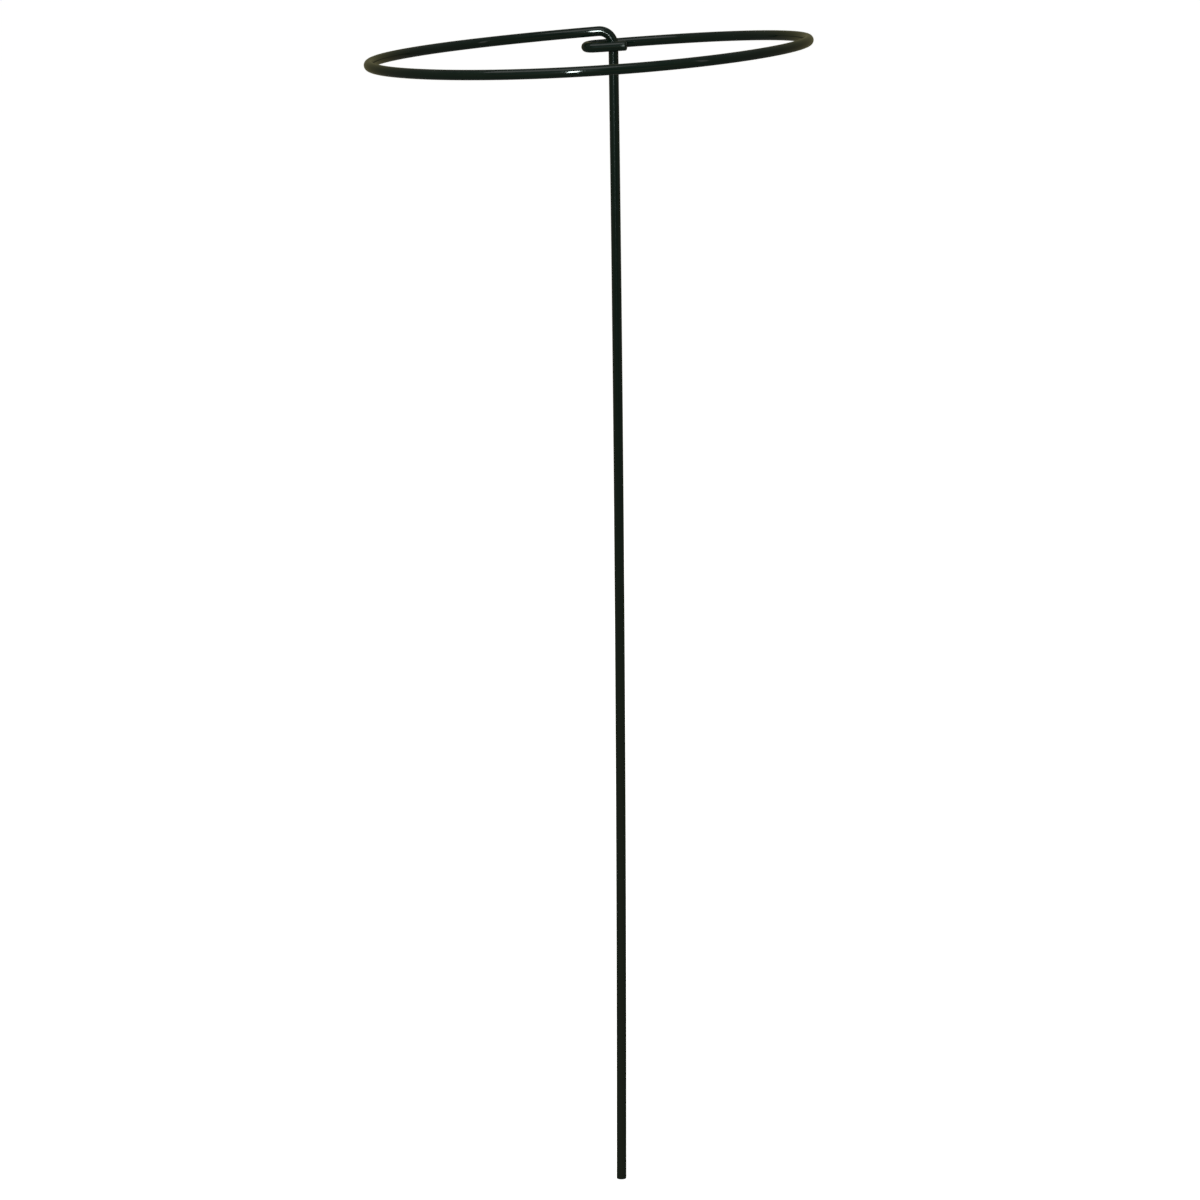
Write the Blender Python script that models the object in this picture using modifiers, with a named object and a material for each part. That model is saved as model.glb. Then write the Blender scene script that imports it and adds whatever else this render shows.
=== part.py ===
# Single-stem plant support: one steel rod, bent into a stem, an open ring and
# a closing hook, in a thick green plastic coating.
#
# The foot's face is at the origin and the stem runs up +Z. The ring lies on
# the -Y side of the stem. The rod leaves the stem's top towards -X, winds
# once round and down, passes behind the stem from +X, turns back in a
# hairpin on the -X side and ends in front of the stem.

import math

import bmesh
import bpy
from mathutils import Vector

# Rod and coating, in metres. At the foot the coating follows the steel's
# rounded edge down to the foot rise above the bare face.
STEEL_DIAMETER = 0.0050
COAT_WALL = 0.0006
BOND_GAP = 0.00005
STEEL_EDGE_ROUND = 0.0007
COAT_FOOT_RISE = 0.00005

# Stem: its height includes the bend at the top, and its middle bows to +X
SUPPORT_HEIGHT = 0.750
STEM_BOW = 0.0014
TOP_BEND_RADIUS = 0.0088

# Ring: centreline radius where it starts, rise towards +X, and the clear
# height by which its end passes under its start. Its left and right sides
# stand up by the warp. The twist lowers two opposite quarters and lifts the
# other two.
RING_RADIUS = 0.131
RING_TILT = 0.0655
RING_GAP = 0.0026
RING_WARP = 0.0014
RING_TWIST = 0.0003

# Hook: measured from the stem's axis to the outside of the hairpin and to
# the tip. The near leg lies lower than the far one and splays out from the
# stem towards its tip.
STEM_CLEARANCE = 0.0003
HOOK_REACH = 0.0204
HOOK_TIP_REACH = 0.0089
HOOK_FALL = 0.0009
HOOK_SPLAY = math.radians(5.0)

# Facets
BEVEL_RESOLUTION = 4
STEM_STEPS = 10
BEND_STEPS = 10
RING_STEPS = 80
HAIRPIN_STEPS = 14
SMOOTH_ANGLE = math.radians(35.0)
WELD_DISTANCE = 0.000001

# Sizes that follow from the ones above
STEEL_RADIUS = STEEL_DIAMETER / 2
COAT_THICKNESS = COAT_WALL + BOND_GAP
COAT_RADIUS = STEEL_RADIUS + COAT_THICKNESS
COAT_DIAMETER = 2 * COAT_RADIUS
COAT_EDGE_ROUND = STEEL_EDGE_ROUND + COAT_THICKNESS
COAT_FOOT_WRAP = math.asin((STEEL_EDGE_ROUND - COAT_FOOT_RISE) / COAT_EDGE_ROUND)
LEG_OFFSET = COAT_DIAMETER + STEM_CLEARANCE
RING_DROP = COAT_DIAMETER + RING_GAP
HOOK_SLANT = math.tan(HOOK_SPLAY)


def clear_scene():
    for old in list(bpy.data.objects):
        bpy.data.objects.remove(old, do_unlink=True)


def make_material(name, colour, roughness, metallic):
    material = bpy.data.materials.new(name)
    material.use_nodes = True
    shader = material.node_tree.nodes["Principled BSDF"]
    shader.inputs["Base Color"].default_value = (*colour, 1.0)
    shader.inputs["Roughness"].default_value = roughness
    shader.inputs["Metallic"].default_value = metallic
    material.diffuse_color = (*colour, 1.0)
    return material


def steps(first, last, count):
    return [first + (last - first) * i / count for i in range(count + 1)]


# The stem is a shallow arc that leans towards -X at its top, where the bend
# takes over at the same lean.
def stem_lean():
    return 4 * STEM_BOW / (SUPPORT_HEIGHT - COAT_RADIUS - TOP_BEND_RADIUS)


def stem_top():
    crown = TOP_BEND_RADIUS * (1 - math.sin(stem_lean()))
    return SUPPORT_HEIGHT - COAT_RADIUS - crown


def stem_points():
    points = []
    for share in steps(0.0, 1.0, STEM_STEPS):
        bow = 4 * STEM_BOW * share * (1 - share)
        height = STEEL_EDGE_ROUND + share * (stem_top() - STEEL_EDGE_ROUND)
        points.append(Vector((bow, 0.0, height)))
    return points


# The bend turns the rod from the stem's lean to the slope at which the ring
# sets off: its own tilt, the winding down and the twist.
def bend_end_angle():
    fall_per_turn = RING_DROP / (2 * math.pi) + 2 * RING_TWIST
    return math.pi / 2 + math.atan(RING_TILT + fall_per_turn / RING_RADIUS)


def bend_points():
    lean = stem_lean()
    radius = TOP_BEND_RADIUS
    centre_x = -radius * math.cos(lean)
    centre_z = stem_top() - radius * math.sin(lean)
    points = []
    for angle in steps(lean, bend_end_angle(), BEND_STEPS):
        x = centre_x + radius * math.cos(angle)
        z = centre_z + radius * math.sin(angle)
        points.append(Vector((x, 0.0, z)))
    return points


# The ring widens steadily in its one turn, so that its end clears the back
# of the stem. It stops over the hairpin's centre, with its heading there.
def ring_growth(start):
    back_angle = math.asin(-start.x / RING_RADIUS)
    back_y = LEG_OFFSET + RING_RADIUS * (1 - math.cos(back_angle))
    share_at_stem = 1 - back_angle / (2 * math.pi)
    return back_y / math.cos(back_angle) / share_at_stem


def ring_points(start):
    growth = ring_growth(start)
    end_radius = RING_RADIUS + growth
    hook_depth = HOOK_REACH - COAT_RADIUS
    hairpin_radius = (growth + LEG_OFFSET - HOOK_SLANT * hook_depth) / (2 - HOOK_SLANT)
    hairpin_x = hairpin_radius - hook_depth
    overrun = math.asin((start.x - hairpin_x) / end_radius)
    points = []
    for angle in steps(0.0, 2 * math.pi + overrun, RING_STEPS):
        turns = angle / (2 * math.pi)
        radius = RING_RADIUS + growth * turns
        x = start.x - radius * math.sin(angle)
        y = -RING_RADIUS + radius * math.cos(angle)
        warp = RING_WARP * (1 - math.cos(2 * angle)) / 2 - RING_TWIST * math.sin(2 * angle)
        z = start.z + RING_TILT * (x - start.x) - RING_DROP * turns + warp
        points.append(Vector((x, y, z)))
    heading = math.pi + overrun - math.atan(growth / (2 * math.pi * end_radius))
    return points, heading


# The hairpin goes on from the ring's heading and turns until the rod runs
# towards +X, but for the splay. Its radius lets the near leg pass the stem's
# axis at LEG_OFFSET in front.
def hairpin_points(start, heading):
    width = start.y + LEG_OFFSET + HOOK_SLANT * start.x
    turned = math.cos(HOOK_SPLAY) - math.cos(heading)
    radius = width / (turned + HOOK_SLANT * (math.sin(heading) + math.sin(HOOK_SPLAY)))
    centre_x = start.x - radius * math.sin(heading)
    centre_y = start.y + radius * math.cos(heading)
    points = []
    for share in steps(0.0, 1.0, HAIRPIN_STEPS):
        angle = heading + share * (2 * math.pi - HOOK_SPLAY - heading)
        x = centre_x + radius * math.sin(angle)
        y = centre_y - radius * math.cos(angle)
        fall = HOOK_FALL * (1 - math.cos(math.pi * share)) / 2
        z = start.z + RING_TILT * (x - start.x) - fall
        points.append(Vector((x, y, z)))
    return points


# Near leg: straight, up to where the rounding of the tip begins
def leg_end(start):
    along = Vector((1.0, -HOOK_SLANT, RING_TILT)).normalized()
    length = (HOOK_TIP_REACH - start.x) / along.x - COAT_EDGE_ROUND
    return start + along * length, along


def centreline():
    points = stem_points()
    bend = bend_points()
    points += bend[1:]
    ring, heading = ring_points(bend[-1])
    points += ring[1:]
    hairpin = hairpin_points(ring[-1], heading)
    points += hairpin[1:]
    end, along = leg_end(hairpin[-1])
    points += [(hairpin[-1] + end) / 2, end]
    return points, along


# Angles round a rounded end, from the side of the rod to its flat face. The
# steel has the coating's angles as far as the coating follows it.
def wrapped_angles():
    return [COAT_FOOT_WRAP, COAT_FOOT_WRAP / 2]


def full_angles():
    halfway = (COAT_FOOT_WRAP + math.pi / 2) / 2
    return [math.pi / 2, halfway] + wrapped_angles()


def rounded_end(centre, outward, rod_radius, edge_radius, angles):
    sections = []
    for angle in angles:
        place = centre + outward * (edge_radius * math.sin(angle))
        radius = rod_radius - edge_radius * (1 - math.cos(angle))
        sections.append((place, radius))
    return sections


def make_rod_curve(name, rod_radius, edge_radius, foot_angles):
    path, along = centreline()
    down = Vector((0.0, 0.0, -1.0))
    foot = rounded_end(path[0], down, rod_radius, edge_radius, foot_angles)
    tip = rounded_end(path[-1], along, rod_radius, edge_radius, full_angles())
    body = [(point, rod_radius) for point in path]
    sections = foot + body + tip[::-1]

    curve = bpy.data.curves.new(name, "CURVE")
    curve.dimensions = "3D"
    curve.twist_mode = "MINIMUM"
    curve.bevel_depth = rod_radius
    curve.bevel_resolution = BEVEL_RESOLUTION
    curve.use_fill_caps = True
    spline = curve.splines.new("POLY")
    spline.points.add(len(sections) - 1)
    for point, (place, radius) in zip(spline.points, sections):
        point.co = (*place, 1.0)
        point.radius = radius / rod_radius
    return bpy.data.objects.new(name, curve)


# The rod as a mesh, with its end caps welded on
def make_rod_mesh(name, rod_radius, edge_radius, foot_angles, collection):
    rod = make_rod_curve(name + "_curve", rod_radius, edge_radius, foot_angles)
    collection.objects.link(rod)
    bpy.context.view_layer.update()
    evaluated = rod.evaluated_get(bpy.context.evaluated_depsgraph_get())
    mesh = bpy.data.meshes.new_from_object(evaluated)
    mesh.name = name
    piece = bpy.data.objects.new(name, mesh)
    piece.matrix_world = rod.matrix_world
    collection.objects.link(piece)
    bpy.data.objects.remove(rod, do_unlink=True)

    shape = bmesh.new()
    shape.from_mesh(mesh)
    bmesh.ops.remove_doubles(shape, verts=shape.verts, dist=WELD_DISTANCE)
    bmesh.ops.recalc_face_normals(shape, faces=shape.faces)
    shape.to_mesh(mesh)
    shape.free()
    mesh.shade_smooth()
    mesh.set_sharp_from_angle(angle=SMOOTH_ANGLE)
    return piece


def make_steel_rod(collection):
    rod = make_rod_mesh("steel_rod", STEEL_RADIUS, STEEL_EDGE_ROUND, full_angles(), collection)
    rod.data.materials.clear()
    rod.data.materials.append(make_material("bare_steel", (0.55, 0.56, 0.57), 0.38, 1.0))
    return rod


# The coating is a skin of even thickness. It closes over the hook's tip and
# stops on the foot's rounded edge, which leaves the foot's face bare.
def make_plastic_coating(collection):
    coating = make_rod_mesh(
        "plastic_coating", COAT_RADIUS, COAT_EDGE_ROUND, wrapped_angles(), collection
    )
    shape = bmesh.new()
    shape.from_mesh(coating.data)
    foot_level = min(vert.co.z for vert in shape.verts) + WELD_DISTANCE
    foot_cap = [face for face in shape.faces if max(v.co.z for v in face.verts) < foot_level]
    bmesh.ops.delete(shape, geom=foot_cap, context="FACES_ONLY")
    shape.to_mesh(coating.data)
    shape.free()

    wall = coating.modifiers.new("wall", "SOLIDIFY")
    wall.thickness = COAT_WALL
    wall.offset = -1.0
    wall.use_even_offset = True
    wall.use_quality_normals = True
    coating.data.materials.clear()
    coating.data.materials.append(make_material("dark_green_plastic", (0.010, 0.020, 0.014), 0.22, 0.0))
    return coating


def main():
    clear_scene()
    collection = bpy.data.collections.new("plant_support")
    bpy.context.scene.collection.children.link(collection)
    make_steel_rod(collection)
    make_plastic_coating(collection)


main()
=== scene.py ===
# Garden plant support on a pale studio floor: one bent steel rod in a glossy
# dark green plastic coating. Lengths are in metres, except where noted.

import math

import bmesh
import bpy
from mathutils import Matrix, Vector, noise


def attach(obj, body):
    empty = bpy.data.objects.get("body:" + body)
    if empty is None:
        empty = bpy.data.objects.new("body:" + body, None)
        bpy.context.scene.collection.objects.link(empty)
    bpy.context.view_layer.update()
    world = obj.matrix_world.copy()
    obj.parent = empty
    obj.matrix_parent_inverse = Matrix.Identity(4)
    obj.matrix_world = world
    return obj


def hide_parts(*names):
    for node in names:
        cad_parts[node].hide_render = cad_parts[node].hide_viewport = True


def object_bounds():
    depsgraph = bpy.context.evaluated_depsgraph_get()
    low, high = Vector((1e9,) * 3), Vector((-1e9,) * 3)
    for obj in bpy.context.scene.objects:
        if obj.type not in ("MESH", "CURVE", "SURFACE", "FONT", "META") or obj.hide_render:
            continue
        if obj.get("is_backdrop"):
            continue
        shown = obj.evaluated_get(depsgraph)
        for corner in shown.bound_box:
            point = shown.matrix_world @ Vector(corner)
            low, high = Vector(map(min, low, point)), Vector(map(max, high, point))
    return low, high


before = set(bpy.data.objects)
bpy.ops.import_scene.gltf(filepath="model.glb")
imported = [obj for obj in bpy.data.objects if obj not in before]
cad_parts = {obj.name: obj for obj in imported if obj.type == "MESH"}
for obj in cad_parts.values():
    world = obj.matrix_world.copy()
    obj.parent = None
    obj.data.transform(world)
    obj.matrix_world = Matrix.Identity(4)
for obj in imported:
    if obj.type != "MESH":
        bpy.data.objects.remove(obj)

cadLow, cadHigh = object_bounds()
scene = bpy.context.scene
print("frame loaded:", ", ".join(sorted(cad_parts)))


# Camera: far off and a little to the right, looking slightly down

cameraSettings = {
    "distance": 4.0,  # from the stem's axis
    "height": 1.04286,
    "azimuth": 0.05659,  # radians round to the right of straight ahead
    "turn": 0.00279,  # radians to the left of the stem's axis
    "pitch": 0.16368,  # radians downwards
    "roll": -0.00767,
    "focalPixels": 6316.09,  # in a picture 1200 pixels wide
    "pictureWidth": 1200,
    "sensorWidth": 36.0,  # millimetres
    "nearest": 0.1,  # nothing nearer or further than these is drawn
    "furthest": 100.0,
}


def makeCamera(settings):
    azimuth = settings["azimuth"]
    heading = azimuth + settings["turn"]
    pitch = settings["pitch"]
    roll = settings["roll"]
    level = Vector((-math.sin(heading), math.cos(heading), 0.0))
    ahead = level * math.cos(pitch) - Vector((0.0, 0.0, math.sin(pitch)))
    right = Vector((math.cos(heading), math.sin(heading), 0.0))
    up = right.cross(ahead)
    rolledRight = right * math.cos(roll) + up * math.sin(roll)
    rolledUp = up * math.cos(roll) - right * math.sin(roll)

    data = bpy.data.cameras.new("photoCamera")
    data.sensor_width = settings["sensorWidth"]
    data.lens = settings["focalPixels"] * settings["sensorWidth"] / settings["pictureWidth"]
    data.clip_start = settings["nearest"]
    data.clip_end = settings["furthest"]
    camera = bpy.data.objects.new("photoCamera", data)
    scene.collection.objects.link(camera)
    turned = Matrix((rolledRight, rolledUp, -ahead)).transposed().to_4x4()
    distance = settings["distance"]
    place = Vector((distance * math.sin(azimuth), -distance * math.cos(azimuth), settings["height"]))
    camera.matrix_world = Matrix.Translation(place) @ turned
    scene.camera = camera


makeCamera(cameraSettings)
print("camera placed")


# The rod's route. It runs up the stem, round the bend at the top towards -X,
# once round the ring and down, behind the stem, through the hairpin and ends
# in front of the stem.

rodRoute = {
    "supportHeight": 0.750,  # foot to the top of the bend, over the coating
    "stemBow": 0.0014,  # towards +X, halfway up
    "topBendRadius": 0.0088,
    "ringRadius": 0.131,
    "ringTilt": 0.0655,  # rise per metre towards +X
    "ringGap": 0.0026,  # clear height between the ring's start and its end
    "ringWarp": 0.0014,  # how far its left and right sides are lifted out of flat
    "ringTwist": 0.0003,  # how far its quarters are lifted and lowered by turns
    "stemClearance": 0.0003,  # between the stem and each leg of the hook
    "hookReach": 0.0204,  # from the stem's axis to the outside of the hairpin
    "hookTipReach": 0.0089,  # from the stem's axis to the tip
    "hookFall": 0.0009,  # how far the near leg lies below the ring's slope
    "hookSplay": math.radians(5.0),
    "steelRadius": 0.0025,
    "coatRadius": 0.00315,
    "steelEdge": 0.0007,  # rounding of the cut ends
    "stemStep": 0.004,  # lengths between cross-sections
    "ringStep": 0.0024,
    "bendStep": 0.0005,
    "legStep": 0.001,
    "fewestSteps": 4,  # in any one stretch
}


def steps(first, last, count):
    return [first + (last - first) * i / count for i in range(count + 1)]


def countFor(length, step):
    return max(rodRoute["fewestSteps"], math.ceil(length / step))


def coatEdge():
    return rodRoute["steelEdge"] + rodRoute["coatRadius"] - rodRoute["steelRadius"]


def legOffset():
    return 2 * rodRoute["coatRadius"] + rodRoute["stemClearance"]


def ringDrop():
    return 2 * rodRoute["coatRadius"] + rodRoute["ringGap"]


def stemLean():
    straight = rodRoute["supportHeight"] - rodRoute["coatRadius"] - rodRoute["topBendRadius"]
    return 4 * rodRoute["stemBow"] / straight


def stemTop():
    crown = rodRoute["topBendRadius"] * (1 - math.sin(stemLean()))
    return rodRoute["supportHeight"] - rodRoute["coatRadius"] - crown


def stemPoints():
    foot = rodRoute["steelEdge"]
    points = []
    for share in steps(0.0, 1.0, countFor(stemTop(), rodRoute["stemStep"])):
        bow = 4 * rodRoute["stemBow"] * share * (1 - share)
        points.append(Vector((bow, 0.0, foot + share * (stemTop() - foot))))
    return points


def bendPoints():
    radius = rodRoute["topBendRadius"]
    fallPerTurn = ringDrop() / (2 * math.pi) + 2 * rodRoute["ringTwist"]
    last = math.pi / 2 + math.atan(rodRoute["ringTilt"] + fallPerTurn / rodRoute["ringRadius"])
    centre = Vector((-math.cos(stemLean()), 0.0, -math.sin(stemLean()))) * radius
    centre.z += stemTop()
    points = []
    for angle in steps(stemLean(), last, countFor(radius * last, rodRoute["bendStep"])):
        points.append(centre + Vector((math.cos(angle), 0.0, math.sin(angle))) * radius)
    return points


def ringPoints(start):
    radius = rodRoute["ringRadius"]
    backAngle = math.asin(-start.x / radius)
    backY = legOffset() + radius * (1 - math.cos(backAngle))
    growth = backY / math.cos(backAngle) / (1 - backAngle / (2 * math.pi))
    endRadius = radius + growth
    hookDepth = rodRoute["hookReach"] - rodRoute["coatRadius"]
    slant = math.tan(rodRoute["hookSplay"])
    hairpinX = (growth + legOffset() - slant * hookDepth) / (2 - slant) - hookDepth
    overrun = math.asin((start.x - hairpinX) / endRadius)
    points = []
    count = countFor(2 * math.pi * radius, rodRoute["ringStep"])
    for angle in steps(0.0, 2 * math.pi + overrun, count):
        turns = angle / (2 * math.pi)
        x = start.x - (radius + growth * turns) * math.sin(angle)
        y = -radius + (radius + growth * turns) * math.cos(angle)
        lift = rodRoute["ringWarp"] * (1 - math.cos(2 * angle)) / 2
        lift -= rodRoute["ringTwist"] * math.sin(2 * angle)
        z = start.z + rodRoute["ringTilt"] * (x - start.x) - ringDrop() * turns + lift
        points.append(Vector((x, y, z)))
    heading = math.pi + overrun - math.atan(growth / (2 * math.pi * endRadius))
    return points, heading


def hairpinPoints(start, heading):
    splay = rodRoute["hookSplay"]
    slant = math.tan(splay)
    turned = math.cos(splay) - math.cos(heading) + slant * (math.sin(heading) + math.sin(splay))
    radius = (start.y + legOffset() + slant * start.x) / turned
    centreX = start.x - radius * math.sin(heading)
    centreY = start.y + radius * math.cos(heading)
    points = []
    for share in steps(0.0, 1.0, countFor(math.pi * radius, rodRoute["bendStep"])):
        angle = heading + share * (2 * math.pi - splay - heading)
        x = centreX + radius * math.sin(angle)
        y = centreY - radius * math.cos(angle)
        fall = rodRoute["hookFall"] * (1 - math.cos(math.pi * share)) / 2
        z = start.z + rodRoute["ringTilt"] * (x - start.x) - fall
        points.append(Vector((x, y, z)))
    return points


def legPoints(start):
    along = Vector((1.0, -math.tan(rodRoute["hookSplay"]), rodRoute["ringTilt"])).normalized()
    length = (rodRoute["hookTipReach"] - start.x) / along.x - coatEdge()
    return [start + along * reach for reach in steps(0.0, length, countFor(length, rodRoute["legStep"]))]


# Cross-sections: place, the two directions across the rod, the direction
# along it, the distance from the foot and how tightly the rod is bent there
def rodSections():
    points = stemPoints()
    bend = bendPoints()
    points += bend[1:]
    ring, heading = ringPoints(bend[-1])
    points += ring[1:]
    hairpin = hairpinPoints(ring[-1], heading)
    points += hairpin[1:] + legPoints(hairpin[-1])[1:]

    chords = [(b - a).normalized() for a, b in zip(points, points[1:])]
    upright = Vector((0.0, 0.0, 1.0))  # the foot's face lies flat on the floor
    ahead = [upright] + [(a + b).normalized() for a, b in zip(chords, chords[1:])] + [chords[-1]]
    across = Vector((0.0, -1.0, 0.0))
    distance = rodRoute["steelEdge"]
    sections = []
    for i, point in enumerate(points):
        if i:
            distance += (point - points[i - 1]).length
            across = ahead[i - 1].rotation_difference(ahead[i]) @ across
        across = (across - ahead[i] * across.dot(ahead[i])).normalized()
        tight = 0.0
        if 0 < i < len(points) - 1:
            lengths = (points[i + 1] - points[i]).length + (points[i] - points[i - 1]).length
            tight = 2 * chords[i - 1].angle(chords[i]) / lengths
        sections.append((point, across.copy(), ahead[i].cross(across), ahead[i], distance, tight))
    return sections


# Lays rings of points round the sections and joins them. Each ring is a
# section, its shift along the rod and its radius, or a function that gives the
# radius. Every point also keeps its place on the rod as it was when straight,
# and how tight the bend is.
def skinOverRings(name, rings, sides):
    shape = bmesh.new()
    straight = shape.verts.layers.float_vector.new("rodSpace")
    bendTightness = shape.verts.layers.float.new("bendTightness")
    rows = []
    for section, shift, radius in rings:
        place, across, upwards, ahead, distance, tight = section
        row = []
        for i in range(sides):
            angle = 2 * math.pi * i / sides
            if callable(radius):
                reach = radius(angle, distance)
            else:
                reach = radius
            side = across * math.cos(angle) + upwards * math.sin(angle)
            vert = shape.verts.new(place + ahead * shift + side * reach)
            vert[straight] = (reach * math.cos(angle), reach * math.sin(angle), distance + shift)
            vert[bendTightness] = tight
            row.append(vert)
        rows.append(row)
    for low, high in zip(rows, rows[1:]):
        for i in range(sides):
            j = (i + 1) % sides
            shape.faces.new((low[i], low[j], high[j], high[i]))
    shape.faces.new(rows[0][::-1])
    shape.faces.new(rows[-1])
    bmesh.ops.recalc_face_normals(shape, faces=shape.faces)
    mesh = bpy.data.meshes.new(name)
    shape.to_mesh(mesh)
    shape.free()
    mesh.shade_smooth()
    piece = bpy.data.objects.new(name, mesh)
    scene.collection.objects.link(piece)
    return piece


# Rings round a rounded end, from the rod's side (angle 0) inwards
def endRings(section, sign, radius, edge, angles):
    rings = []
    for angle in angles:
        shift = sign * edge * math.sin(angle)
        rings.append((section, shift, radius - edge * (1 - math.cos(angle))))
    return rings


# Node helpers. Where one takes a value, it can be a number or a socket that
# is linked.

def newGroup(name, inputs, outputs):
    tree = bpy.data.node_groups.new(name, "ShaderNodeTree")
    for label, kind, value in inputs:
        socket = tree.interface.new_socket(name=label, in_out="INPUT", socket_type="NodeSocket" + kind)
        socket.default_value = value
    for label, kind in outputs:
        tree.interface.new_socket(name=label, in_out="OUTPUT", socket_type="NodeSocket" + kind)
    return tree, tree.nodes.new("NodeGroupInput").outputs, tree.nodes.new("NodeGroupOutput").inputs


def addNode(tree, kind, values=None, **options):
    node = tree.nodes.new("ShaderNode" + kind)
    for option, setting in options.items():
        setattr(node, option, setting)
    for socket, value in (values or {}).items():
        if isinstance(value, bpy.types.NodeSocket):
            tree.links.new(value, node.inputs[socket])
        else:
            node.inputs[socket].default_value = value
    return node


def addGroup(tree, group, values):
    return addNode(tree, "Group", values, node_tree=group).outputs


def multiply(tree, a, b):
    return addNode(tree, "Math", {0: a, 1: b}, operation="MULTIPLY").outputs[0]


def add(tree, a, b):
    return addNode(tree, "Math", {0: a, 1: b}, operation="ADD").outputs[0]


def stretch(tree, vector, factors):
    return addNode(tree, "VectorMath", {0: vector, 1: factors}, operation="MULTIPLY").outputs[0]


def addNoise(tree, vector, scale, detail, roughness=0.5):
    values = {"Vector": vector, "Scale": scale, "Detail": detail, "Roughness": roughness}
    return addNode(tree, "TexNoise", values).outputs["Fac"]


def remap(tree, value, low, high, newLow=0.0, newHigh=1.0):
    values = {"Value": value, "From Min": low, "From Max": high, "To Min": newLow, "To Max": newHigh}
    return addNode(tree, "MapRange", values, clamp=True).outputs["Result"]


def opaque(colour):
    if isinstance(colour, bpy.types.NodeSocket):
        return colour
    return (*colour, 1.0)


# A mix node's colours are its inputs 6 and 7 and its output 2
def mixColours(tree, share, a, b):
    return addNode(tree, "Mix", {0: share, 6: opaque(a), 7: opaque(b)}, data_type="RGBA").outputs[2]


def newMaterial(name):
    material = bpy.data.materials.new(name)
    material.use_nodes = True
    tree = material.node_tree
    return material, tree, tree.nodes["Principled BSDF"]


# Shared effects, as node groups. A range says where in a noise the effect
# starts and where it is full.

lineEffect = {
    "detail": 3.0,
    "range": (0.3, 0.7),
}


def makeLineGroup(effect):
    sockets = [
        ("Vector", "Vector", (0, 0, 0)),
        ("Across", "Vector", (3000, 3000, 12)),
        ("Sharpness", "Float", 0.5),
    ]
    tree, start, end = newGroup("lengthwiseLines", sockets, [("Lines", "Float")])
    stretched = stretch(tree, start["Vector"], start["Across"])
    lines = addNoise(tree, stretched, 1.0, effect["detail"], start["Sharpness"])
    tree.links.new(remap(tree, lines, *effect["range"]), end["Lines"])
    return tree


unevenEffect = {
    "broadDetail": 1.5,
    "fineDetail": 1.0,
    "patchRange": (0.35, 0.65),
}


def makeUnevenGroup(effect):
    sockets = [
        ("Vector", "Vector", (0, 0, 0)),
        ("Broad Scale", "Float", 70.0),
        ("Fine Scale", "Float", 700.0),
        ("Fine Share", "Float", 0.25),
    ]
    tree, start, end = newGroup("softUnevenness", sockets, [("Height", "Float"), ("Patches", "Float")])
    broad = addNoise(tree, start["Vector"], start["Broad Scale"], effect["broadDetail"])
    fine = addNoise(tree, start["Vector"], start["Fine Scale"], effect["fineDetail"])
    tree.links.new(add(tree, broad, multiply(tree, fine, start["Fine Share"])), end["Height"])
    tree.links.new(remap(tree, broad, *effect["patchRange"]), end["Patches"])
    return tree


scuffEffect = {
    "patchDetail": 3.0,
    "patchRange": (0.58, 0.72),
    "hairs": ((0.5, (2600, 300, 260)), (-0.9, (300, 2400, 300))),  # turn in radians, stretch
    "hairDetail": 1.0,
    "hairRange": (0.66, 0.72),
}


def makeScuffGroup(effect):
    sockets = [
        ("Vector", "Vector", (0, 0, 0)),
        ("Amount", "Float", 0.5),
        ("Patch Scale", "Float", 45.0),
    ]
    tree, start, end = newGroup("handlingScuffs", sockets, [("Scuffs", "Float")])
    patch = addNoise(tree, start["Vector"], start["Patch Scale"], effect["patchDetail"])
    marks = []
    for turn, factors in effect["hairs"]:
        values = {"Vector": start["Vector"], "Angle": turn}
        turned = addNode(tree, "VectorRotate", values, rotation_type="X_AXIS").outputs[0]
        hair = addNoise(tree, stretch(tree, turned, factors), 1.0, effect["hairDetail"])
        marks.append(remap(tree, hair, *effect["hairRange"]))
    both = addNode(tree, "Math", {0: marks[0], 1: marks[1]}, operation="MAXIMUM").outputs[0]
    amount = multiply(tree, remap(tree, patch, *effect["patchRange"]), start["Amount"])
    tree.links.new(multiply(tree, both, amount), end["Scuffs"])
    return tree


dustEffect = {
    "colour": (0.16, 0.15, 0.12),
    "facing": (0.1, 0.95),  # how far a surface looks up where dust starts and is full
    "filmScale": 55.0,
    "filmDetail": 4.0,
    "filmRange": (0.35, 0.75),
    "filmShare": 0.6,
    "speckDetail": 2.0,
    "speckRange": (0.60, 0.70),
    "speckShare": 0.7,
}


def makeDustGroup(effect):
    sockets = [
        ("Vector", "Vector", (0, 0, 0)),
        ("Amount", "Float", 0.3),
        ("Speck Scale", "Float", 900.0),
    ]
    tree, start, end = newGroup("settledDust", sockets, [("Dust", "Float")])
    facing = addNode(tree, "SeparateXYZ", {0: addNode(tree, "NewGeometry").outputs["Normal"]})
    upward = remap(tree, facing.outputs["Z"], *effect["facing"])
    film = addNoise(tree, start["Vector"], effect["filmScale"], effect["filmDetail"])
    specks = addNoise(tree, start["Vector"], start["Speck Scale"], effect["speckDetail"])
    filmCover = multiply(tree, remap(tree, film, *effect["filmRange"]), effect["filmShare"])
    speckCover = multiply(tree, remap(tree, specks, *effect["speckRange"]), effect["speckShare"])
    settled = multiply(tree, upward, add(tree, filmCover, speckCover))
    tree.links.new(multiply(tree, settled, start["Amount"]), end["Dust"])
    return tree


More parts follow.
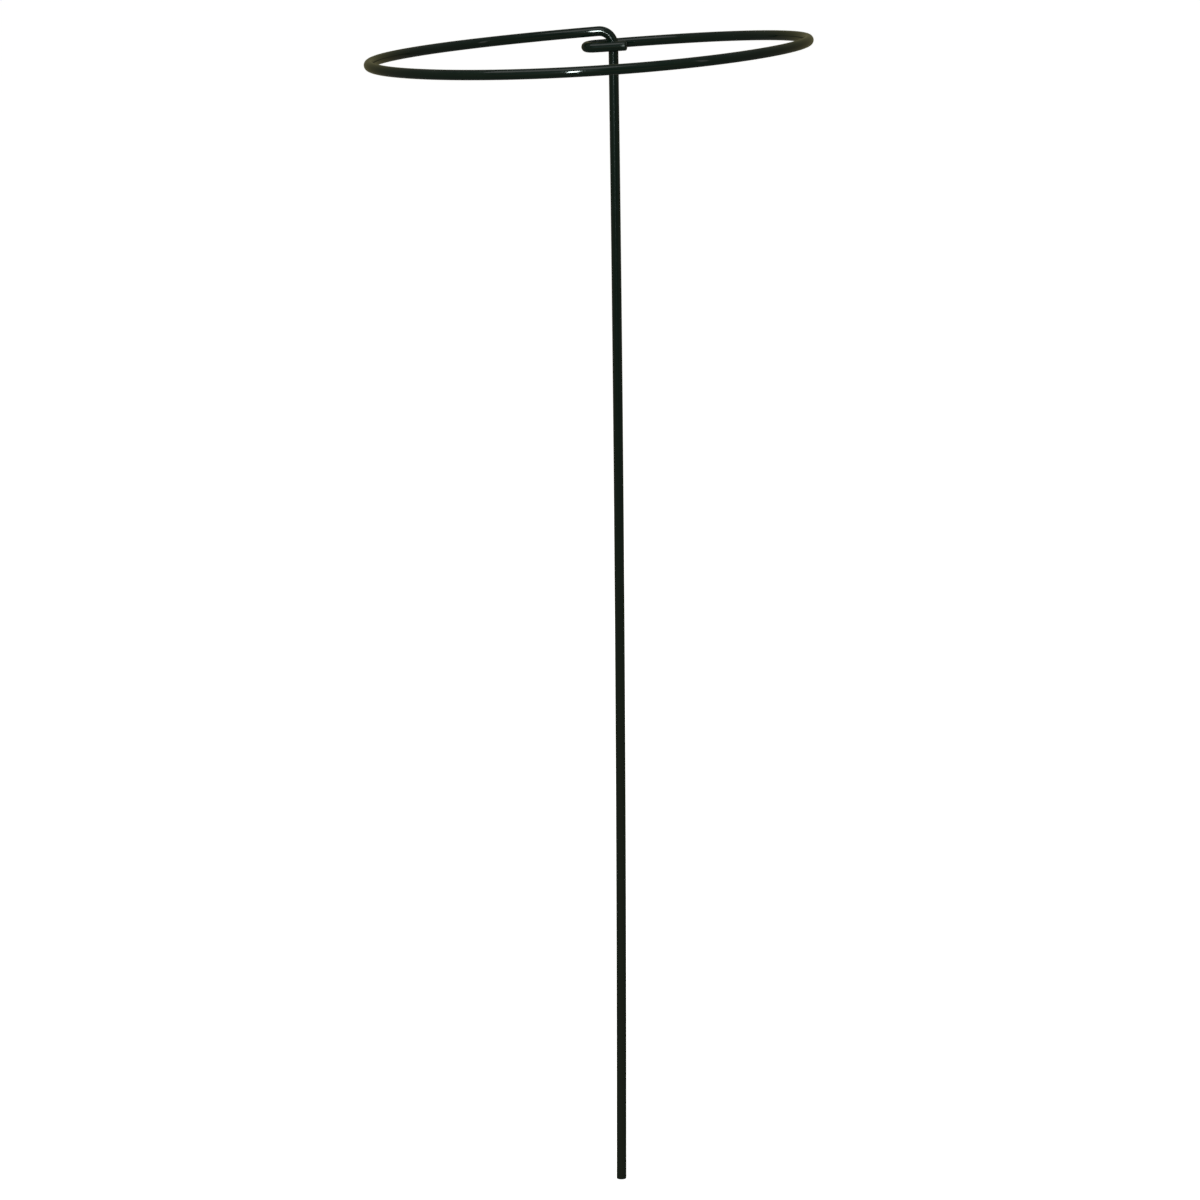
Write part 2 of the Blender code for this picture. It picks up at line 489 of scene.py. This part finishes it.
strainEffect = {
    "tightness": (30.0, 130.0),  # one over the bend's radius, where strain starts and is full
    "cloudScale": 420.0,
    "cloudDetail": 3.0,
    "cloudRange": (0.3, 0.75),
    "leastStrain": 0.35,
    "wrinkleStretch": (220, 220, 1500),
    "wrinkleDetail": 1.0,
}


def makeStrainGroup(effect):
    sockets = [
        ("Vector", "Vector", (0, 0, 0)),
        ("Tightness", "Float", 0.0),
    ]
    tree, start, end = newGroup("bendStrain", sockets, [("Strain", "Float"), ("Wrinkles", "Float")])
    bent = remap(tree, start["Tightness"], *effect["tightness"])
    cloud = addNoise(tree, start["Vector"], effect["cloudScale"], effect["cloudDetail"])
    broken = remap(tree, cloud, *effect["cloudRange"], effect["leastStrain"], 1.0)
    tree.links.new(multiply(tree, bent, broken), end["Strain"])
    squeezed = stretch(tree, start["Vector"], effect["wrinkleStretch"])
    wrinkles = addNoise(tree, squeezed, 1.0, effect["wrinkleDetail"])
    tree.links.new(multiply(tree, bent, wrinkles), end["Wrinkles"])
    return tree


lineGroup = makeLineGroup(lineEffect)
unevenGroup = makeUnevenGroup(unevenEffect)
scuffGroup = makeScuffGroup(scuffEffect)
dustGroup = makeDustGroup(dustEffect)
strainGroup = makeStrainGroup(strainEffect)
print("shared effects made")


# Steel rod

steelSettings = {
    "sides": 32,
    "edgeSteps": 5,  # round each cut edge
    "faceRings": 4,  # on each flat face
    "faceCentre": 0.12,  # the smallest of those rings, as a share of the flat face
    "colour": (0.47, 0.47, 0.46),
    "darkColour": (0.20, 0.19, 0.18),
    "rustColour": (0.16, 0.075, 0.035),
    "roughness": 0.34,
    "shearMarks": {"Across": (3800, 260, 260), "Sharpness": 0.6},
    "shearDarkness": 0.6,
    "shearRoughness": 0.18,
    "shearDepth": 0.00004,
    "shearStrength": 0.7,
    "unevenness": {"Broad Scale": 700.0, "Fine Scale": 4000.0, "Fine Share": 0.3},
    "rustRange": (0.72, 0.86),
    "rustCover": 0.55,
    "rustRoughness": 0.35,
    "rustMetallic": 0.35,
    "dust": {"Amount": 0.2, "Speck Scale": 2500.0},
}


def makeSteelRod(sections, settings):
    radius = rodRoute["steelRadius"]
    edge = rodRoute["steelEdge"]
    angles = steps(0.0, math.pi / 2, settings["edgeSteps"])[1:]
    flat = radius - edge
    shares = steps(1.0, settings["faceCentre"], settings["faceRings"])[1:]
    footFace = [(sections[0], -edge, flat * share) for share in shares]
    tipFace = [(sections[-1], edge, flat * share) for share in shares]
    foot = endRings(sections[0], -1, radius, edge, angles)
    tip = endRings(sections[-1], 1, radius, edge, angles)
    body = [(section, 0.0, radius) for section in sections]
    rings = footFace[::-1] + foot[::-1] + body + tip + tipFace
    return skinOverRings("steelRod", rings, settings["sides"])


def makeSteelMaterial(settings):
    material, tree, shader = newMaterial("bareCutSteel")
    rodSpace = addNode(tree, "Attribute", attribute_name="rodSpace").outputs["Vector"]
    shear = addGroup(tree, lineGroup, {"Vector": rodSpace, **settings["shearMarks"]})["Lines"]
    height = addGroup(tree, unevenGroup, {"Vector": rodSpace, **settings["unevenness"]})["Height"]
    dust = addGroup(tree, dustGroup, {"Vector": rodSpace, **settings["dust"]})["Dust"]
    rusty = remap(tree, height, *settings["rustRange"])

    darkness = multiply(tree, shear, settings["shearDarkness"])
    colour = mixColours(tree, darkness, settings["colour"], settings["darkColour"])
    colour = mixColours(tree, multiply(tree, rusty, settings["rustCover"]), colour, settings["rustColour"])
    colour = mixColours(tree, dust, colour, dustEffect["colour"])
    tree.links.new(colour, shader.inputs["Base Color"])

    rough = add(tree, multiply(tree, shear, settings["shearRoughness"]), settings["roughness"])
    rough = add(tree, rough, multiply(tree, rusty, settings["rustRoughness"]))
    tree.links.new(rough, shader.inputs["Roughness"])
    metallic = remap(tree, rusty, 0.0, 1.0, 1.0, settings["rustMetallic"])
    tree.links.new(metallic, shader.inputs["Metallic"])
    values = {"Height": shear, "Distance": settings["shearDepth"], "Strength": settings["shearStrength"]}
    bump = addNode(tree, "Bump", values)
    tree.links.new(bump.outputs["Normal"], shader.inputs["Normal"])
    return material


# Plastic coating

coatingSettings = {
    "sides": 48,
    "wall": 0.0006,  # leaves 0.05 mm clear round the steel
    "footLow": 0.00005,  # the foot is rounded in and up from this height
    "footIn": 0.00065,
    "footUp": 0.0008,
    "footOutsideWrap": math.radians(78.0),
    "footInsideWrap": math.radians(46.0),
    "footOutsideSteps": 12,
    "footInsideSteps": 6,
    "lipBulge": 0.00003,  # of the coating's lip, downwards
    "lipSteps": 5,
    "tipOutsideSteps": 8,
    "tipInsideSteps": 4,
    "tipDome": 0.00012,
    "domeSteps": 5,
    "domeCentre": 0.1,  # the dome's smallest ring, as a share of the flat face
    "unevenness": 0.00002,  # how far the surface wanders from a true cylinder
    "unevenLength": 0.035,  # along the rod
    "colour": (0.0035, 0.0117, 0.0067),
    "paleColour": (0.0066, 0.0185, 0.0118),
    "scuffColour": (0.045, 0.075, 0.055),
    "refraction": 1.52,
    "roughness": 0.06,
    "lines": {"Across": (2600, 2600, 9), "Sharpness": 0.55},
    "lineRoughness": 0.04,
    "lineBump": (0.0000015, 0.5),  # depth and strength
    "waves": {"Broad Scale": 60.0, "Fine Scale": 800.0, "Fine Share": 0.05},
    "wavePaleness": 0.22,
    "waveBump": (0.00005, 0.5),
    "strainPaleness": 0.35,
    "strainRoughness": 0.05,
    "wrinkleBump": (0.000004, 0.5),
    "scuffs": {"Amount": 0.55, "Patch Scale": 38.0},
    "scuffCover": 0.5,
    "scuffRoughness": 0.25,
    "scuffBump": (0.00001, 0.3),
    "dust": {"Amount": 0.16, "Speck Scale": 1100.0},
    "dustRoughness": 0.5,
    "rubbedTip": 0.0026,  # the tip is dulled over this length, from hooking it on
    "rubbedRoughness": 0.30,
}


def makeCoating(sections, settings):
    outer = rodRoute["coatRadius"]
    inner = outer - settings["wall"]
    outerEdge = coatEdge()
    innerEdge = outerEdge - settings["wall"]

    def wandering(angle, distance):
        spot = Vector((math.cos(angle), math.sin(angle), distance / settings["unevenLength"]))
        return outer - settings["unevenness"] * (1 - noise.noise(spot)) / 2

    footInsideAngles = steps(0.0, settings["footInsideWrap"], settings["footInsideSteps"])[1:]
    tipInsideAngles = steps(0.0, math.pi / 2, settings["tipInsideSteps"])[1:]
    tipOutsideAngles = steps(0.0, math.pi / 2, settings["tipOutsideSteps"])[1:]
    insideWay = [(section, 0.0, inner) for section in sections]
    insideFoot = endRings(sections[0], -1, inner, innerEdge, footInsideAngles)
    insideTip = endRings(sections[-1], 1, inner, innerEdge, tipInsideAngles)
    outsideTip = endRings(sections[-1], 1, outer, outerEdge, tipOutsideAngles)
    outsideWay = [(section, 0.0, wandering) for section in sections[1:]]

    outsideFoot = []
    for angle in steps(0.0, settings["footOutsideWrap"], settings["footOutsideSteps"]):
        height = settings["footLow"] + settings["footUp"] * (1 - math.sin(angle))
        reach = outer - settings["footIn"] * (1 - math.cos(angle))
        outsideFoot.append((sections[0], height - rodRoute["steelEdge"], reach))

    lip = []
    for share in steps(0.0, 1.0, settings["lipSteps"])[1:-1]:
        shift = insideFoot[-1][1] + (outsideFoot[-1][1] - insideFoot[-1][1]) * share
        reach = insideFoot[-1][2] + (outsideFoot[-1][2] - insideFoot[-1][2]) * share
        lip.append((sections[0], shift - settings["lipBulge"] * math.sin(math.pi * share), reach))

    flat = outer - outerEdge
    dome = []
    for share in steps(1.0, settings["domeCentre"], settings["domeSteps"])[1:]:
        rise = settings["tipDome"] * (1 - share ** 2)
        dome.append((sections[-1], outerEdge + rise, flat * share))

    rings = insideTip[::-1] + insideWay[::-1] + insideFoot + lip
    rings += outsideFoot[::-1] + outsideWay + outsideTip + dome
    return skinOverRings("plasticCoating", rings, settings["sides"])


def makeCoatingMaterial(settings, rodLength):
    material, tree, shader = newMaterial("glossyGreenPlastic")
    rodSpace = addNode(tree, "Attribute", attribute_name="rodSpace").outputs["Vector"]
    tightness = addNode(tree, "Attribute", attribute_name="bendTightness").outputs["Fac"]
    lines = addGroup(tree, lineGroup, {"Vector": rodSpace, **settings["lines"]})["Lines"]
    waves = addGroup(tree, unevenGroup, {"Vector": rodSpace, **settings["waves"]})
    scuffs = addGroup(tree, scuffGroup, {"Vector": rodSpace, **settings["scuffs"]})["Scuffs"]
    dust = addGroup(tree, dustGroup, {"Vector": rodSpace, **settings["dust"]})["Dust"]
    strain = addGroup(tree, strainGroup, {"Vector": rodSpace, "Tightness": tightness})
    along = addNode(tree, "SeparateXYZ", {0: rodSpace}).outputs["Z"]
    rubbed = remap(tree, along, rodLength - settings["rubbedTip"], rodLength)

    colour = settings["colour"]
    for mask, amount, tint in (
        (waves["Patches"], settings["wavePaleness"], settings["paleColour"]),
        (strain["Strain"], settings["strainPaleness"], settings["paleColour"]),
        (scuffs, settings["scuffCover"], settings["scuffColour"]),
    ):
        colour = mixColours(tree, multiply(tree, mask, amount), colour, tint)
    colour = mixColours(tree, dust, colour, dustEffect["colour"])
    tree.links.new(colour, shader.inputs["Base Color"])

    rough = settings["roughness"]
    for mask, amount in (
        (lines, settings["lineRoughness"]),
        (scuffs, settings["scuffRoughness"]),
        (dust, settings["dustRoughness"]),
        (strain["Strain"], settings["strainRoughness"]),
        (rubbed, settings["rubbedRoughness"]),
    ):
        rough = add(tree, rough, multiply(tree, mask, amount))
    tree.links.new(rough, shader.inputs["Roughness"])

    normal = None
    for height, (depth, strength) in (
        (waves["Height"], settings["waveBump"]),
        (lines, settings["lineBump"]),
        (strain["Wrinkles"], settings["wrinkleBump"]),
        (scuffs, settings["scuffBump"]),
    ):
        bump = addNode(tree, "Bump", {"Height": height, "Distance": depth, "Strength": strength})
        if normal:
            tree.links.new(normal, bump.inputs["Normal"])
        normal = bump.outputs["Normal"]
    tree.links.new(normal, shader.inputs["Normal"])
    shader.inputs["IOR"].default_value = settings["refraction"]
    return material


sections = rodSections()
rodLength = sections[-1][4]
print("rod route:", len(sections), "sections,", round(rodLength, 4), "m long")
steelRod = makeSteelRod(sections, steelSettings)
plasticCoating = makeCoating(sections, coatingSettings)
faceCounts = [len(piece.data.polygons) for piece in (steelRod, plasticCoating)]
print("rod and coating made:", faceCounts[0], "and", faceCounts[1], "faces")

plasticCoating.data.materials.append(makeCoatingMaterial(coatingSettings, rodLength))
steelRod.data.materials.append(makeSteelMaterial(steelSettings))
print("materials made")

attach(plasticCoating, "root")
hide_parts("plastic_coating")
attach(steelRod, "root")
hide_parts("steel_rod")


# Studio: a pale floor, white all round for the camera, and dim surroundings
# for the reflections

studioSettings = {
    "white": (1.0, 1.0, 1.0, 1.0),
    "floorSize": 80.0,
    "floorGap": 0.0002,  # below the foot's face
    "floorColour": (0.80, 0.80, 0.79),
    "floorRoughness": 0.9,
    "floorGlow": 0.90,
    "sideGlow": (0.130, 0.121, 0.104),
    "behindGlow": (0.142, 0.132, 0.070),
    "frontGlow": (0.068, 0.060, 0.072),
    "spillGlow": (0.50, 0.64, 0.57),  # faint round the main light, full in a band just under it
    "spillFaintness": 0.35,
    "overheadGlow": (0.13, 0.14, 0.14),
    "lowGlow": (0.225, 0.160, 0.120),  # in front, a little below the horizon
    "belowGlow": (0.105, 0.108, 0.098),
}

# Where each glow starts and where it is full, on the parts of the direction
# looked in: X to the right, Y away from the camera and Z up, each from -1 to 1
glowReach = {
    "behindY": (0.25, 0.85),
    "frontY": (-0.55, -0.85),
    "spillLeftX": (-0.8, -0.15),
    "spillRightX": (0.2, 0.08),
    "spillTopZ": (-0.074, -0.083),
    "spillBottomZ": (-0.0965, -0.0905),
    "overheadZ": (0.35, 0.85),
    "lowY": (-0.3, -0.7),
    "lowZ": (-0.13, -0.19),
    "belowZ": (-0.25, -0.55),
}


def makeFloor(settings):
    bpy.ops.mesh.primitive_plane_add(size=settings["floorSize"], location=(0.0, 0.0, -settings["floorGap"]))
    floor = bpy.context.object
    floor.name = "studioFloor"
    material, tree, shader = newMaterial("paleFloor")
    shader.inputs["Base Color"].default_value = opaque(settings["floorColour"])
    shader.inputs["Roughness"].default_value = settings["floorRoughness"]
    shader.inputs["Specular IOR Level"].default_value = 0.0
    shader.inputs["Emission Color"].default_value = settings["white"]
    shader.inputs["Emission Strength"].default_value = settings["floorGlow"]
    clear = addNode(tree, "BsdfTransparent")
    behind = addNode(tree, "NewGeometry").outputs["Backfacing"]
    either = addNode(tree, "MixShader", {0: behind, 1: shader.outputs[0], 2: clear.outputs[0]})
    tree.links.new(either.outputs[0], tree.nodes["Material Output"].inputs["Surface"])
    floor.data.materials.append(material)
    floor.visible_glossy = False
    floor.visible_diffuse = False
    floor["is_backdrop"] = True


def makeWorld(settings, reach):
    world = bpy.data.worlds.new("studioWorld")
    world.use_nodes = True
    scene.world = world
    tree = world.node_tree
    direction = addNode(tree, "TexCoord").outputs["Generated"]
    parts = addNode(tree, "SeparateXYZ", {0: direction}).outputs

    def within(name):
        return remap(tree, parts[name[-1]], *reach[name])

    spillTop = remap(tree, parts["Z"], *reach["spillTopZ"], settings["spillFaintness"], 1.0)
    spillHeight = multiply(tree, spillTop, within("spillBottomZ"))
    spillSide = multiply(tree, within("spillLeftX"), within("spillRightX"))
    front = within("frontY")
    spill = multiply(tree, front, multiply(tree, spillHeight, spillSide))
    glow = mixColours(tree, within("behindY"), settings["sideGlow"], settings["behindGlow"])
    glow = mixColours(tree, front, glow, settings["frontGlow"])
    glow = mixColours(tree, spill, glow, settings["spillGlow"])
    glow = mixColours(tree, within("overheadZ"), glow, settings["overheadGlow"])
    glow = mixColours(tree, multiply(tree, within("lowZ"), within("lowY")), glow, settings["lowGlow"])
    glow = mixColours(tree, within("belowZ"), glow, settings["belowGlow"])
    surroundings = tree.nodes["Background"]
    tree.links.new(glow, surroundings.inputs["Color"])
    white = addNode(tree, "Background", {"Color": settings["white"]})
    seen = addNode(tree, "LightPath").outputs["Is Camera Ray"]
    either = addNode(tree, "MixShader", {0: seen, 1: surroundings.outputs[0], 2: white.outputs[0]})
    tree.links.new(either.outputs[0], tree.nodes["World Output"].inputs["Surface"])


# Soft lights: where each stands (degrees round from the camera's side to the
# right, degrees up, metres from the ring's middle), its width and height, its
# power in watts, and whether glossy things mirror it
lightSettings = {
    "keyStrip": {
        "azimuth": -4.35,
        "elevation": 8.45,
        "distance": 3.0,
        "size": (0.27, 1.32),
        "power": 48.0,
        "colour": (0.86, 1.0, 0.97),
        "mirrored": True,
    },
    "overheadPanel": {
        "azimuth": -30.0,
        "elevation": 64.0,
        "distance": 2.5,
        "size": (2.4, 1.5),
        "power": 11.0,
        "colour": (0.98, 1.0, 1.0),
        "mirrored": True,
    },
    "rightStrip": {
        "azimuth": 63.0,
        "elevation": 18.0,
        "distance": 3.0,
        "size": (0.25, 1.7),
        "power": 0.8,
        "colour": (1.0, 1.0, 0.98),
        "mirrored": True,
    },
    "backPanel": {
        "azimuth": 165.0,
        "elevation": 38.0,
        "distance": 3.2,
        "size": (1.6, 1.2),
        "power": 30.0,
        "colour": (1.0, 0.98, 0.94),
        "mirrored": False,  # it would streak the ring's ends
    },
}


def makeLights(lights):
    ringCentre = Vector((0.0, -rodRoute["ringRadius"], rodRoute["supportHeight"]))
    for name, light in lights.items():
        azimuth = math.radians(light["azimuth"])
        elevation = math.radians(light["elevation"])
        level = math.cos(elevation)
        away = Vector((math.sin(azimuth) * level, -math.cos(azimuth) * level, math.sin(elevation)))
        data = bpy.data.lights.new(name, "AREA")
        data.shape = "RECTANGLE"
        data.size, data.size_y = light["size"]
        data.energy = light["power"]
        data.color = light["colour"]
        lamp = bpy.data.objects.new(name, data)
        lamp.location = ringCentre + away * light["distance"]
        lamp.rotation_mode = "QUATERNION"
        lamp.rotation_quaternion = away.to_track_quat("Z", "Y")
        lamp.visible_camera = False
        lamp.visible_glossy = light["mirrored"]
        scene.collection.objects.link(lamp)


makeFloor(studioSettings)
makeWorld(studioSettings, glowReach)
makeLights(lightSettings)
scene.view_settings.view_transform = "Standard"
print("studio made")

lookLow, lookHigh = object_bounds()
roomLeft = (*(lookLow - cadLow), *(cadHigh - lookHigh))
print("room left in the CAD box, mm:", [round(length * 1000, 3) for length in roomLeft])
